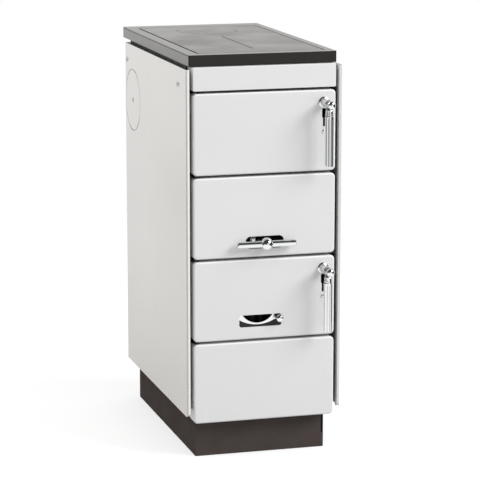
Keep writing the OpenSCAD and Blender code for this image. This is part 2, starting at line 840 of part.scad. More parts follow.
module hob_plate() {
  mid = plate_y + plate_l / 2;
  slot_y = hob_y + slot_front;
  color("#55514d") difference() {
    translate([plate_shift, mid, plate_z]) linear_extrude(height = plate_t)
      round_rect(plate_w, plate_l, 4);
    translate([plate_shift, lid_y, plate_z + 3]) cylinder(r = lid_r + 0.4, h = plate_t, $fn = 96);
    translate([plate_shift, lid_y, plate_z - 1])
      cylinder(r = lid_r - lid_step, h = plate_t + 2, $fn = 96);
    translate([plate_shift, slot_y + slot_l / 2, plate_z - 1]) linear_extrude(height = plate_t + 2)
      round_rect(slot_w, slot_l, slot_w / 2 - 0.01);
  }
}

module hob_lid() {
  color("#55514d") translate([plate_shift, lid_y, plate_z + 3]) {
    cylinder(r = lid_r, h = plate_t - 3, $fn = 96);
    translate([0, 0, -3]) cylinder(r = lid_r - lid_step - 0.5, h = 3, $fn = 96);
  }
}

// Fuel door

module fuel_door_front() {
  color("#e6e7e8") difference() {
    pan(fuel_z, door_half, front_h, pan_d, pan_corner, pan_round);
    door_holes(fuel_z);
  }
}

module fuel_door_liner() {
  color("#2b2927") door_liner(fuel_z);
}

module fuel_door_seal() {
  color("#c9c4b6") door_seal(fuel_z);
}

module fuel_door_shield() {
  w = 2 * (open_half - shield_side);
  h = front_h - 2 * (open_margin + shield_margin);
  z = fuel_z + front_h / 2;
  color("#35322f") {
    front_plate(0, pan_y + shield_off, z, w, h, shield_t, 6);
    for (sx = [-1, 1], sz = [-1, 1]) rod_y(sx * (w / 2 - 2 * shield_side),
      z + sz * (h / 2 - 2 * shield_side), pan_y, pan_y + shield_off, 6);
  }
}

module fuel_door_bushes() {
  color("#8d8a84") door_bushes(fuel_z);
}

module fuel_door_rosette() {
  color("#d9dbdd") rosette(fuel_z);
}

module fuel_door_screw() {
  color("#d9dbdd") door_screw(fuel_z);
}

module fuel_handle() {
  color("#d9dbdd") handle(fuel_z);
}

module fuel_spindle() {
  color("#d9dbdd") spindle(fuel_z);
}

module fuel_cam() {
  color("#8d8a84") cam(fuel_z);
}

// Ash door

module ash_door_front() {
  color("#e6e7e8") difference() {
    pan(ash_z, door_half, front_h, pan_d, pan_corner, pan_round);
    door_holes(ash_z);
    front_plate(air_shift, face_y - 1, air_z, air_w, air_h, 6, 5);
  }
}

module ash_door_liner() {
  color("#2b2927") difference() {
    door_liner(ash_z);
    for (i = [-2 : 2]) front_plate(air_shift + i * 18, pan_y - 4, air_z, 9, 22, 5, 4.4);
  }
}

module ash_door_seal() {
  color("#c9c4b6") door_seal(ash_z);
}

module ash_door_bushes() {
  color("#8d8a84") door_bushes(ash_z);
}

module ash_door_rosette() {
  color("#d9dbdd") rosette(ash_z);
}

module ash_door_screw() {
  color("#d9dbdd") door_screw(ash_z);
}

module ash_handle() {
  color("#d9dbdd") handle(ash_z);
}

module ash_spindle() {
  color("#d9dbdd") spindle(ash_z);
}

module ash_cam() {
  color("#8d8a84") cam(ash_z);
}

// Air slide

slide_x0 = air_shift - air_w / 2 - 7;
slide_x1 = air_shift + air_w / 2 + air_travel + 6;
slide_half_h = air_h / 2 + 6;
slide_y = air_front + lip_t;
slide_back = slide_y + air_plate_t;
knob_x = air_shift + air_w / 2 - 6;
knob_z = air_z + 4;
lip_mid = air_shift - 5.5;

// Two channels that hold the slide behind the door's front
module air_guides() {
  x0 = slide_x0 - air_travel - 4;
  x1 = slide_x1 + 2;
  color("#8d8a84") for (s = [-1, 1]) {
    z0 = air_z + s * (slide_half_h + loose);
    z1 = air_z + s * (slide_half_h + loose + 2);
    z2 = air_z + s * (slide_half_h - 4);
    box([x0, face_y + sheet, min(z0, z1)], [x1, slide_back + loose + 1.5, max(z0, z1)]);
    box([x0, slide_back + loose, min(z1, z2)], [x1, slide_back + loose + 1.5, max(z1, z2)]);
  }
}

// Half-moon air hole: the part of a disc below the slot's upper edge
module half_moon(y0, y1) {
  r = 40;
  intersection() {
    rod_y(lip_mid, air_z - air_h / 2 + 8 + r, y0, y1, r);
    box([lip_mid - air_w / 2, y0 - 1, air_z - air_h / 2], [lip_mid + air_w / 2, y1 + 1,
      air_z + air_h / 2 + 1.5]);
  }
}

module air_slide() {
  color("#201f1e") difference() {
    box([slide_x0, slide_y, air_z - slide_half_h], [slide_x1, slide_back, air_z + slide_half_h]);
    half_moon(slide_y - 1, slide_back + 1);
    rod_y(knob_x, knob_z, slide_y - 1, slide_back + 1, 2.5);
  }
}

// Bright crescent that edges the half-moon hole, with the rivet at its right end
module air_lip() {
  r = 78;
  rivet_x = knob_x - 9;
  color("#d9dbdd") {
    difference() {
      intersection() {
        rod_y(lip_mid, air_z - air_h / 2 + 4.7 + r, air_front, slide_y, r);
        box([slide_x0 + 1, air_front - 1, air_z - air_h / 2],
          [rivet_x, slide_y + 1, air_z + air_h / 2 + 2]);
      }
      half_moon(air_front - 1, slide_y + 1);
    }
    translate([rivet_x, slide_y, knob_z]) rotate([90, 0, 0]) rotate_extrude($fn = 48)
      polygon([[0, 0], [3.7, 0], [3.7, 1.4], [3, 2.2], [1.6, 2.6], [0, 2.7]]);
  }
}

module air_knob() {
  color("#d9dbdd") {
    rod_y(knob_x, knob_z, face_y - 4, slide_back, 2.5);
    translate([knob_x, face_y - 4, knob_z]) rotate([90, 0, 0]) rotate_extrude($fn = 64)
      polygon([[0, -4.5], [4.4, -4.5], [4.4, -1], [air_knob_r - 1.5, 1], [air_knob_r - 0.3, 3],
        [air_knob_r, 5], [air_knob_r - 0.6, 7.4], [air_knob_r - 2.4, 9.4], [air_knob_r - 5, 10.4],
        [0, 10.7]]);
  }
}

// Riddling grate

module grate() {
  bars = 9;
  step = 2 * (grate_half - 6) / bars;
  color("#35322f") difference() {
    union() {
      box([-grate_half, grate_front, grate_z], [grate_half, grate_back, grate_z + grate_t]);
      box([-12, grate_front - 2, grate_z], [12, grate_front + 6, grate_z + grate_t]);
    }
    for (i = [0 : bars - 1], s = [-1, 1]) translate([-grate_half + 6 + step * (i + 0.5),
      (grate_front + grate_back) / 2 + s * (grate_l / 4 - 2), grate_z - 1])
      linear_extrude(height = grate_t + 2) round_rect(step - 8, grate_l / 2 - 18, 4);
    rod_y(0, rod_z, grate_front - 4, grate_front + 4, rod_r);
  }
}

module grate_rod() {
  color("#b8b8b4") rod_y(0, rod_z, bar_y + 6, grate_front + 4, rod_r);
}

module grate_handle() {
  color("#d9dbdd") difference() {
    union() {
      translate([-bar_l / 2, bar_y, rod_z]) rotate([0, 90, 0]) rotate_extrude($fn = 64)
        polygon([[0, 0], [bar_r - 1.5, 0], [bar_r, 1.5], [bar_r, bar_l - 1.5],
          [bar_r - 1.5, bar_l], [0, bar_l]]);
      translate([0, bar_y, rod_z]) sphere(r = ball_r, $fn = 64);
    }
    rod_y(0, rod_z, bar_y + 6, bar_y + ball_r + 1, rod_r);
  }
}

// Fuel drawer

module drawer_front() {
  color("#e6e7e8") pan(drawer_z, door_half, front_h, pan_d, pan_corner, pan_round);
}

module drawer_box() {
  z0 = runner_z + loose;
  z1 = drawer_z + front_h - 20;
  color("#8d8a84") {
    front_plate(0, pan_y - 3, drawer_z + front_h / 2, 2 * (door_half - sheet),
      front_h - 2 * sheet, sheet, 12);
    difference() {
      box([-drawer_half, pan_y - 3 + sheet, z0], [drawer_half, drawer_back, z1]);
      box([-drawer_half + sheet, pan_y - 3 + 2 * sheet, z0 + sheet],
        [drawer_half - sheet, drawer_back - sheet, z1 + 1]);
    }
  }
}

// Ash pan

module ash_pan() {
  x = open_half - ash_pan_side;
  y0 = frame_back + ash_pan_set;
  y1 = partition_y + ash_pan_side;
  z0 = shelf_z + wall + loose;
  z1 = z0 + ash_pan_h;
  bail_half = 45;
  bail_reach = 16;
  bail_drop = 28;
  bail_h = 10;
  lug_w = 8;
  lug_h = 4;
  color("#5b5854") {
    difference() {
      box([-x, y0, z0], [x, y1, z1]);
      box([-x + sheet, y0 + sheet, z0 + sheet], [x - sheet, y1 - sheet, z1 + 1]);
    }
    for (s = [-1, 1]) box([s * bail_half - lug_w / 2, y0 - bail_reach + 2, z1 - bail_drop + 2],
      [s * bail_half + lug_w / 2, y0, z1 - bail_drop + 2 + lug_h]);
    box([-bail_half - lug_w / 2, y0 - bail_reach, z1 - bail_drop],
      [bail_half + lug_w / 2, y0 - bail_reach + 3, z1 - bail_drop + bail_h]);
  }
}

plinth_frame();
plinth_front();
body_shell();
front_frame();
ash_shelf();
firebox_floor();
brick_left();
brick_right();
brick_back();
brick_front();
flue_partition();
flue_collar();
flue_cover_left();
flue_cover_right();
flue_bolts();
back_cover();
side_panel_left();
side_panel_right();
panel_spacers();
casing_screws();
fascia();
firebox_cover();
hinge_plates();
hinge_pins();
latch_keepers();
drawer_runners();
hob_frame();
hob_seal();
hob_plate();
hob_lid();
fuel_door_front();
fuel_door_liner();
fuel_door_seal();
fuel_door_shield();
fuel_door_bushes();
fuel_door_rosette();
fuel_door_screw();
fuel_handle();
fuel_spindle();
fuel_cam();
ash_door_front();
ash_door_liner();
ash_door_seal();
ash_door_bushes();
ash_door_rosette();
ash_door_screw();
ash_handle();
ash_spindle();
ash_cam();
air_guides();
air_slide();
air_lip();
air_knob();
grate();
grate_rod();
grate_handle();
drawer_front();
drawer_box();
ash_pan();
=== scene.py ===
"""Looks of the narrow wood-burning kitchen stove: finishes, small fasteners, light and camera.

Lengths are in metres, in the frame of the CAD model: X to the right, Y to the back, Z up.
Each node's object sits at the origin, so a material's Object coordinates are places in that frame.
"""
import json
import math
import bpy
from mathutils import Matrix, Vector

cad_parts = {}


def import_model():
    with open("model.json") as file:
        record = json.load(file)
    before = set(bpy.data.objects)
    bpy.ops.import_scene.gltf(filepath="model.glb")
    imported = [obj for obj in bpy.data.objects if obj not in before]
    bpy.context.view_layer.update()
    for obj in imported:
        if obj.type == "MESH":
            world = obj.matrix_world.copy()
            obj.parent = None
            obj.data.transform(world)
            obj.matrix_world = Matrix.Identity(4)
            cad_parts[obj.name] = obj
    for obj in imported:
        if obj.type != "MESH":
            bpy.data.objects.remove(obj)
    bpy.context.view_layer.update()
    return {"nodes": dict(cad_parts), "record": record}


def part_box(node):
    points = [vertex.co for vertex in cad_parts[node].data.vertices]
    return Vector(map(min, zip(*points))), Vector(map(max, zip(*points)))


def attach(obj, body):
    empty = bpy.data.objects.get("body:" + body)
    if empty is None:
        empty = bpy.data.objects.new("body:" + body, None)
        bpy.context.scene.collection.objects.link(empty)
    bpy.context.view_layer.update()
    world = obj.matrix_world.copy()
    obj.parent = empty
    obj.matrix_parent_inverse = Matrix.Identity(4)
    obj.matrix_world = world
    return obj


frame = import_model()
nodes = frame["nodes"]


# Shading of the CAD pieces

MERGE_DISTANCE = 0.000004
SHARP_ANGLE = math.radians(27)
BEVEL_ANGLE = math.radians(40)
BEVEL_SEGMENTS = 2
FACE_WEIGHT = 60


def shading_group():
    """Node group that joins split vertices and keeps only real edges sharp."""
    g = bpy.data.node_groups.new("clean_shading", "GeometryNodeTree")
    for in_out in ("INPUT", "OUTPUT"):
        g.interface.new_socket("Geometry", in_out=in_out, socket_type="NodeSocketGeometry")
    n = g.nodes
    start = n.new("NodeGroupInput")
    end = n.new("NodeGroupOutput")
    drop = n.new("GeometryNodeRemoveAttribute")
    drop.inputs["Name"].default_value = "custom_normal"
    merge = n.new("GeometryNodeMergeByDistance")
    merge.inputs["Distance"].default_value = MERGE_DISTANCE
    smooth = n.new("GeometryNodeSetShadeSmooth")
    angle = n.new("GeometryNodeInputMeshEdgeAngle")
    above = n.new("FunctionNodeCompare")
    above.data_type = "FLOAT"
    above.operation = "GREATER_THAN"
    above.inputs[1].default_value = SHARP_ANGLE
    store = n.new("GeometryNodeStoreNamedAttribute")
    store.data_type = "BOOLEAN"
    store.domain = "EDGE"
    store.inputs["Name"].default_value = "sharp_edge"
    g.links.new(start.outputs[0], drop.inputs["Geometry"])
    g.links.new(drop.outputs[0], merge.inputs["Geometry"])
    g.links.new(merge.outputs[0], smooth.inputs["Geometry"])
    g.links.new(smooth.outputs[0], store.inputs["Geometry"])
    g.links.new(angle.outputs["Unsigned Angle"], above.inputs[0])
    g.links.new(above.outputs[0], store.inputs["Value"])
    g.links.new(store.outputs[0], end.inputs[0])
    return g


SHADING = shading_group()


def dress(o, bevel=0.0):
    """Smooth curves, flat faces and, where a width is given, a small worn edge."""
    o.modifiers.new("shade", "NODES").node_group = SHADING
    if bevel:
        b = o.modifiers.new("edge", "BEVEL")
        b.width = bevel
        b.segments = BEVEL_SEGMENTS
        b.limit_method = "ANGLE"
        b.angle_limit = BEVEL_ANGLE
        b.use_clamp_overlap = True
        b.harden_normals = False
    w = o.modifiers.new("normals", "WEIGHTED_NORMAL")
    w.keep_sharp = True
    w.weight = FACE_WEIGHT


# Node helpers: t is a node tree, p its Principled shader

NOISE_SPAN = (0.3, 0.7)  # nearly all values of a noise texture lie between these


def material(name, base, rough, metallic=0.0, spec=0.5):
    """Material with its node tree and its shader."""
    m = bpy.data.materials.new(name)
    m.use_nodes = True
    p = m.node_tree.nodes["Principled BSDF"]
    p.inputs["Base Color"].default_value = (*base, 1)
    p.inputs["Roughness"].default_value = rough
    p.inputs["Metallic"].default_value = metallic
    p.inputs["Specular IOR Level"].default_value = spec
    return m, m.node_tree, p


def coords(t, scale=(1, 1, 1)):
    """Place on the object, stretched for a texture."""
    mapping = t.nodes.new("ShaderNodeMapping")
    mapping.inputs["Scale"].default_value = scale
    t.links.new(surface(t)[0], mapping.inputs["Vector"])
    return mapping.outputs["Vector"]


def surface(t):
    """Place and normal of the surface."""
    c = t.nodes.new("ShaderNodeTexCoord")
    return c.outputs["Object"], c.outputs["Normal"]


def part_of(t, vec, axis):
    """One component of a vector."""
    n = t.nodes.new("ShaderNodeSeparateXYZ")
    t.links.new(vec, n.inputs[0])
    return n.outputs[axis]


def math_node(t, operation, *values):
    """Result of a maths operation on sockets or numbers."""
    n = t.nodes.new("ShaderNodeMath")
    n.operation = operation
    for socket, value in zip(n.inputs, values):
        if isinstance(value, (int, float)):
            socket.default_value = value
        else:
            t.links.new(value, socket)
    return n.outputs[0]


def minus(t, a, b):
    return math_node(t, "SUBTRACT", a, b)


def larger(t, a, b):
    return math_node(t, "MAXIMUM", a, b)


def size_of(t, value):
    return math_node(t, "ABSOLUTE", value)


def product(t, first, *others):
    """Product of two or more sockets or numbers."""
    for other in others:
        first = math_node(t, "MULTIPLY", first, other)
    return first


def away_from(t, value, middle):
    """Distance of a value from a middle."""
    return size_of(t, minus(t, value, middle))


def radius(t, place, centre, axes):
    """Distance from a centre, measured along two axes."""
    squares = []
    for axis in axes:
        d = minus(t, part_of(t, place, axis), centre["XYZ".index(axis)])
        squares.append(product(t, d, d))
    return math_node(t, "SQRT", math_node(t, "ADD", *squares))


def remap(t, value, low, high, to_low, to_high, kind="SMOOTHSTEP"):
    """Value carried from one pair of limits to another, and held at its ends."""
    m = t.nodes.new("ShaderNodeMapRange")
    m.interpolation_type = kind
    for key, number in (("From Min", low), ("From Max", high),
                        ("To Min", to_low), ("To Max", to_high)):
        m.inputs[key].default_value = number
    t.links.new(value, m.inputs["Value"])
    return m.outputs["Result"]


def rise(t, value, low, high, to=1.0):
    """0 below the lower limit, and to above the higher one."""
    return remap(t, value, low, high, 0.0, to)


def fall(t, value, low, high, start=1.0):
    """start below the lower limit, and 0 above the higher one."""
    return remap(t, value, low, high, start, 0.0)


def blend(t, fac, a, b):
    """Mix of two colours, each a tuple or a socket: a at 0, b at 1."""
    m = t.nodes.new("ShaderNodeMix")
    m.data_type = "RGBA"
    t.links.new(fac, m.inputs["Factor"])
    for key, colour in (("A", a), ("B", b)):
        socket = [i for i in m.inputs if i.name == key and i.type == "RGBA"][0]
        if isinstance(colour, tuple):
            socket.default_value = (*colour, 1)
        else:
            t.links.new(colour, socket)
    return [o for o in m.outputs if o.type == "RGBA"][0]


def noise(t, vec, scale, detail=3.0, rough=0.5):
    n = t.nodes.new("ShaderNodeTexNoise")
    n.inputs["Scale"].default_value = scale
    n.inputs["Detail"].default_value = detail
    n.inputs["Roughness"].default_value = rough
    t.links.new(vec, n.inputs["Vector"])
    return n.outputs["Fac"]


def times(colour, *factors):
    """Colour times one factor, or times one for each channel, held at 1."""
    return tuple(min(1.0, c * k) for c, k in zip(colour, factors * (3 // len(factors))))


def mottle(t, vec, dark, light, scale, detail):
    """Colour that wanders between two tones."""
    r = t.nodes.new("ShaderNodeValToRGB")
    for element, position, colour in zip(r.color_ramp.elements, NOISE_SPAN, (dark, light)):
        element.position = position
        element.color = (*colour, 1)
    t.links.new(noise(t, vec, scale, detail), r.inputs["Fac"])
    return r.outputs["Color"]


def vary(t, p, vec, base, spread, scale, detail):
    """Base colour that wanders a little round its value."""
    tone = mottle(t, vec, times(base, 1 - spread), times(base, 1 + spread), scale, detail)
    t.links.new(tone, p.inputs["Base Color"])


def rough_vary(t, p, vec, rough, spread, scale, detail):
    """Roughness that wanders between two shares of its value."""
    low, high = (min(1.0, rough * share) for share in spread)
    wander = remap(t, noise(t, vec, scale, detail), *NOISE_SPAN, low, high, kind="LINEAR")
    t.links.new(wander, p.inputs["Roughness"])


def bump(t, p, height, strength, distance):
    """Fine relief of the finish."""
    b = t.nodes.new("ShaderNodeBump")
    b.inputs["Strength"].default_value = strength
    b.inputs["Distance"].default_value = distance
    t.links.new(height, b.inputs["Height"])
    t.links.new(b.outputs["Normal"], p.inputs["Normal"])


# Enamel

EDGE_HIGHLIGHT = (0.93, 0.93, 0.93)       # painted highlight on rounded edges turned up or to the right
LIGHTENED_RETURN = (0.86, 0.86, 0.86)     # returns of the pans and doors, painted lighter than the face to lift the shade in the gaps
ENAMEL_INSIDE = (0.75, 0.75, 0.75)     # inner face of the side panels
GROUND_COAT_AND_SHADE = (0.022, 0.023, 0.026)    # dark first coat, bare where no white was sprayed; on the side panels' top flange it is painted shade, and it also darkens the pry slot's walls
# Limits of a normal's component, between which one tone gives way to the next
EDGE_TURN = (0.12, 0.5)
RETURN_TURN = (0.12, 0.35)
BACK_TURN = (-0.5, -0.2)
BEND_TURN = (0.1, 0.35)
FOLD_TURN = (0.85, 0.97)
TOP_TURN = (0.85, 0.95)
CUT_TURN = (0.3, 0.6)

LOW_SHADE_TINT = (0.875, 0.85, 0.83)         # painted shade, warmer and darker near the floor
LOW_HEIGHTS = (0.1, 0.5)
NEAR_SHADE_AMOUNT = 0.6                      # share of that painted shade near the front edge
NEAR_HEIGHTS = (0.55, 0.72)
NEAR_DEPTHS = (0.03, 0.4)              # behind the front edge
FOLD_LEFT_HIGHLIGHT = (0.95, 0.935, 0.905)       # painted highlight on the left panel's folded front edge
# painted shade on the right panel's folded front edge
FOLD_RIGHT_SHADE = (0.7, 0.7, 0.695)
BEND_SHADE = (0.66, 0.65, 0.62)              # painted shade on the rounded bend beside the fold
FOLD_DEPTHS = (0.0125, 0.0145)         # the fold ends between these, behind the front edge
SCORE_GREY = (0.52, 0.51, 0.485)
SCORE_RADIUS = 0.068                   # middle of the scored circle's groove
SCORE_LINE = (0.0008, 0.002)           # half the width of its grey line, and where it has faded
PRY_SLOT_RADII = (0.01, 0.012)         # the pry slot's walls lie inside these


def even(t, v, base):
    """Fired colour with a trace of unevenness."""
    return mottle(t, v, times(base, 0.99), times(base, 1.01), scale=4, detail=2)


def finish_enamel(t, p, v, rough):
    """Slightly wavy gloss."""
    rough_vary(t, p, v, rough, spread=(0.85, 1.2), scale=9, detail=2)
    bump(t, p, noise(t, v, scale=14, detail=1), strength=0.05, distance=0.0004)


def enamel_front(name, base, rough):
    """Enamel of the fronts: white face, painted highlight on rounded edges turned up or right,
    returns painted lighter than the face, dark inside.
    """
    m, t, p = material(name, base, rough)
    v = coords(t)
    normal = surface(t)[1]
    facing = product(t, part_of(t, normal, "Y"), -1)
    lit = larger(t, part_of(t, normal, "Z"), part_of(t, normal, "X"))
    # Painted highlight on the rounded edges turned up or to the right, towards the key lamp
    tone = blend(t, rise(t, lit, *EDGE_TURN), even(t, v, base), EDGE_HIGHLIGHT)
    # Returns painted lighter than the face, to lift the shade in the gaps between the fronts
    tone = blend(t, rise(t, facing, *RETURN_TURN), LIGHTENED_RETURN, tone)
    tone = blend(t, rise(t, facing, *BACK_TURN), GROUND_COAT_AND_SHADE, tone)
    t.links.new(tone, p.inputs["Base Color"])
    finish_enamel(t, p, v, rough)
    return m


def enamel_side(name, base, rough):
    """Enamel of the side panels: painted shade low down and near the front edge, scored circle,
    folded edge with painted highlight and shade, grey inside.
    """
    m, t, p = material(name, base, rough)
    v = coords(t)
    place, normal = surface(t)
    side = math_node(t, "SIGN", part_of(t, place, "X"))
    outward = product(t, part_of(t, normal, "X"), side)
    facing = product(t, part_of(t, normal, "Y"), -1)
    y, z = part_of(t, place, "Y"), part_of(t, place, "Z")
    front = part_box("side_panel_left")[0][1]

    # Outer face
    # Painted shade: the outer face is darker and warmer towards the floor
    low_shade_tone = times(base, *LOW_SHADE_TINT)
    tone = blend(t, rise(t, z, *LOW_HEIGHTS), low_shade_tone, even(t, v, base))
    # Painted shade near the front edge, between the middle heights
    near = product(t, fall(t, y, *(front + d for d in NEAR_DEPTHS)),
                   fall(t, z, *NEAR_HEIGHTS, start=NEAR_SHADE_AMOUNT))
    tone = blend(t, near, tone, low_shade_tone)
    low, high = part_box("flue_cover_left")
    centre = [(a + b) / 2 for a, b in zip(low, high)]
    r = radius(t, place, centre, "YZ")
    tone = blend(t, rise(t, away_from(t, r, SCORE_RADIUS), *SCORE_LINE), SCORE_GREY, tone)

    # Folded front edge: painted shade on its bend, a painted highlight on the left fold and
    # painted shade on the right one
    # Painted shade on the rounded bend between the side and the fold
    bend = product(t, rise(t, facing, *BEND_TURN), fall(t, facing, *FOLD_TURN))
    tone = blend(t, bend, tone, BEND_SHADE)
    # Painted highlight on the left fold, painted shade on the right one
    on_right = rise(t, side, -0.5, 0.5)
    fold = blend(t, on_right, FOLD_LEFT_HIGHLIGHT, FOLD_RIGHT_SHADE)
    tone = blend(t, rise(t, facing, *FOLD_TURN), tone, fold)

    # Inner face, the top flange painted black as shade in the gap under the hob, and the pry
    # slot's walls painted dark
    inside = fall(t, outward, *BACK_TURN)
    behind = rise(t, y, *(front + d for d in FOLD_DEPTHS))
    tone = blend(t, product(t, inside, behind), tone, ENAMEL_INSIDE)
    # Top flange painted black: painted shade in the gap under the hob
    tone = blend(t, rise(t, part_of(t, normal, "Z"), *TOP_TURN), tone, GROUND_COAT_AND_SHADE)
    cut = product(t, fall(t, size_of(t, outward), *CUT_TURN), fall(t, r, *PRY_SLOT_RADII))
    tone = blend(t, cut, tone, GROUND_COAT_AND_SHADE)
    t.links.new(tone, p.inputs["Base Color"])
    finish_enamel(t, p, v, rough)
    return m


# Plain finishes


def cast(name, base, rough, grain=420, strength=0.35):
    """Sand-cast or pressed body with a coarse skin."""
    m, t, p = material(name, base, rough)
    v = coords(t)
    vary(t, p, v, base, spread=0.25, scale=40, detail=5)
    rough_vary(t, p, v, rough, spread=(0.85, 1.15), scale=60, detail=4)
    bump(t, p, noise(t, v, grain, detail=4, rough=0.6), strength, distance=0.0006)
    return m


def paint(name, base, rough, spec):
    """Baked paint with a fine texture."""
    m, t, p = material(name, base, rough, spec=spec)
    v = coords(t)
    vary(t, p, v, base, spread=0.08, scale=18, detail=3)
    rough_vary(t, p, v, rough, spread=(0.9, 1.1), scale=35, detail=3)
    bump(t, p, noise(t, v, scale=900, detail=2), strength=0.05, distance=0.0001)
    return m


def finish_metal(t, p, v, rough, strength):
    """Faint drawing marks."""
    rough_vary(t, p, v, rough, spread=(0.8, 1.25), scale=90, detail=3)
    bump(t, p, noise(t, v, scale=700, detail=3), strength, distance=0.0001)


def metal(name, base, rough, stretch, strength):
    """Bare or plated metal with faint drawing marks."""
    m, t, p = material(name, base, rough, metallic=1.0)
    v = coords(t, stretch)
    vary(t, p, v, base, spread=0.03, scale=60, detail=3)
    finish_metal(t, p, v, rough, strength)
    return m


# Chrome with painted dark reflections on the flutes and necks of the two levers

DARK_REFLECTION = (0.02, 0.02, 0.021)
FLUTE_X = 0.003                        # a flute on each side of the grip's middle
FLUTE_WIDTH = (0.0011, 0.0019)
FLUTE_AMOUNT = 0.95
LEFT_FLUTE_AMOUNT = 0.6                # share of it, left of the grip's middle
MIDDLE_X = (-0.001, 0.001)
LOWER_GRIP_AMOUNT = 0.25               # share of it, on the lower lever
GRIP_SPLIT = (0.42, 0.5)               # a height between the two levers
UPRIGHT_TURN = (0.02, 0.1)
FLUTE_DEPTHS = (0.004, 0.008)          # behind the front of the grip
NECK_AMOUNT = 0.85
NECK_WIDTH = (0.011, 0.012)
NECK_UP_TURN = (0.0, 0.15)
NECK_SIDE_TURN = (0.3, 0.6)
NECK_FRONT = (-0.001, 0.0)
NECK_DEPTHS = (0.014, 0.018)


def chrome(name, base, rough):
    """Bright plating, with painted dark reflections on the flutes of the two lever grips and on
    the upper side of their necks.
    """
    m, t, p = material(name, base, rough, metallic=1.0)
    v = coords(t)
    place, normal = surface(t)
    x, y, z = (part_of(t, place, axis) for axis in "XYZ")
    low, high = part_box("fuel_handle")
    grip_x, front = (low[0] + high[0]) / 2, low[1]
    beside = away_from(t, x, grip_x)
    upright = size_of(t, part_of(t, normal, "Z"))
    # Painted dark reflections along the grip's two flutes
    flute = product(
        t, fall(t, away_from(t, beside, FLUTE_X), *FLUTE_WIDTH),
        remap(t, x, *(grip_x + d for d in MIDDLE_X), LEFT_FLUTE_AMOUNT, 1.0),
        fall(t, upright, *UPRIGHT_TURN, start=FLUTE_AMOUNT),
        fall(t, y, *(front + d for d in FLUTE_DEPTHS)),
        remap(t, z, *GRIP_SPLIT, LOWER_GRIP_AMOUNT, 1.0))
    # Painted dark reflection on the upper side of each neck, behind the nut
    neck = product(
        t, fall(t, beside, *NECK_WIDTH), rise(t, part_of(t, normal, "Z"), *NECK_UP_TURN),
        fall(t, size_of(t, part_of(t, normal, "Y")), *NECK_SIDE_TURN),
        rise(t, y, *(front + d for d in NECK_FRONT)),
        fall(t, y, *(front + d for d in NECK_DEPTHS), start=NECK_AMOUNT))
    tone = mottle(t, v, times(base, 0.985), base, scale=60, detail=3)
    t.links.new(blend(t, larger(t, flute, neck), tone, DARK_REFLECTION), p.inputs["Base Color"])
    finish_metal(t, p, v, rough, strength=0.02)
    return m


# Hob

BARE_TURN = (0.93, 0.985)
WALL_TURN = (0.5, 0.7)
OUTER_WALL = (0.006, 0.004)            # in from the outer face: the opening's walls stay painted
EDGE_LINE = (0.0034, 0.002)            # below the upper face: paint left along the edge
EDGE_LINE_AMOUNT = 0.75
PAINT_ROUGH, GROUND_ROUGH = 0.42, 0.28

UP_TURN = (0.5, 0.8)
PATCH_STRETCH = (1, 0.7, 1)
PATCH_LEVELS = (0.46, 0.62)
MARK = (0.1, 0.09, 0.08)               # faint marks of use
MARK_STRETCH = (3, 60, 1)
MARK_LEVELS = (0.35, 0.65)
MARK_AMOUNT = 0.1
GRINDING_STRETCH = (40, 500, 40)
# dark ring at the lid's edge: sooted joint and painted shade of its groove
LID_LINE = (0.0004, 0.0035)
LID_LINE_AMOUNT = 0.6
PLATE_RIM_SHADE = (0.0012, 0.0026)           # painted shade along the plate's left edge, standing in for a wider gap there
PLATE_ROUGH = (0.32, 0.44)
PLATE_SPEC = 0.5


def hob_frame_finish(name, paint_base, ground):
    """Painted frame whose upper face and two sides are ground bare."""
    m, t, p = material(name, paint_base, rough=0.4, spec=0.3)
    v = coords(t)
    place, normal = surface(t)
    _, (half, _, top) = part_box("hob_frame")
    wall = size_of(t, part_of(t, normal, "X"))
    outer = rise(t, size_of(t, part_of(t, place, "X")), *(half - d for d in OUTER_WALL))
    bare = rise(t, larger(t, part_of(t, normal, "Z"), product(t, wall, outer)), *BARE_TURN)
    edge = product(t, rise(t, wall, *WALL_TURN),
                   rise(t, part_of(t, place, "Z"), *(top - d for d in EDGE_LINE),
                        to=EDGE_LINE_AMOUNT))
    bare = product(t, bare, minus(t, 1.0, edge))
    tone = mottle(t, v, times(ground, 0.85), ground, scale=14, detail=4)
    t.links.new(blend(t, bare, paint_base, tone), p.inputs["Base Color"])
    t.links.new(bare, p.inputs["Metallic"])
    t.links.new(remap(t, bare, 0, 1, PAINT_ROUGH, GROUND_ROUGH), p.inputs["Roughness"])
    bump(t, p, noise(t, v, scale=800, detail=3), strength=0.03, distance=0.0001)
    return m


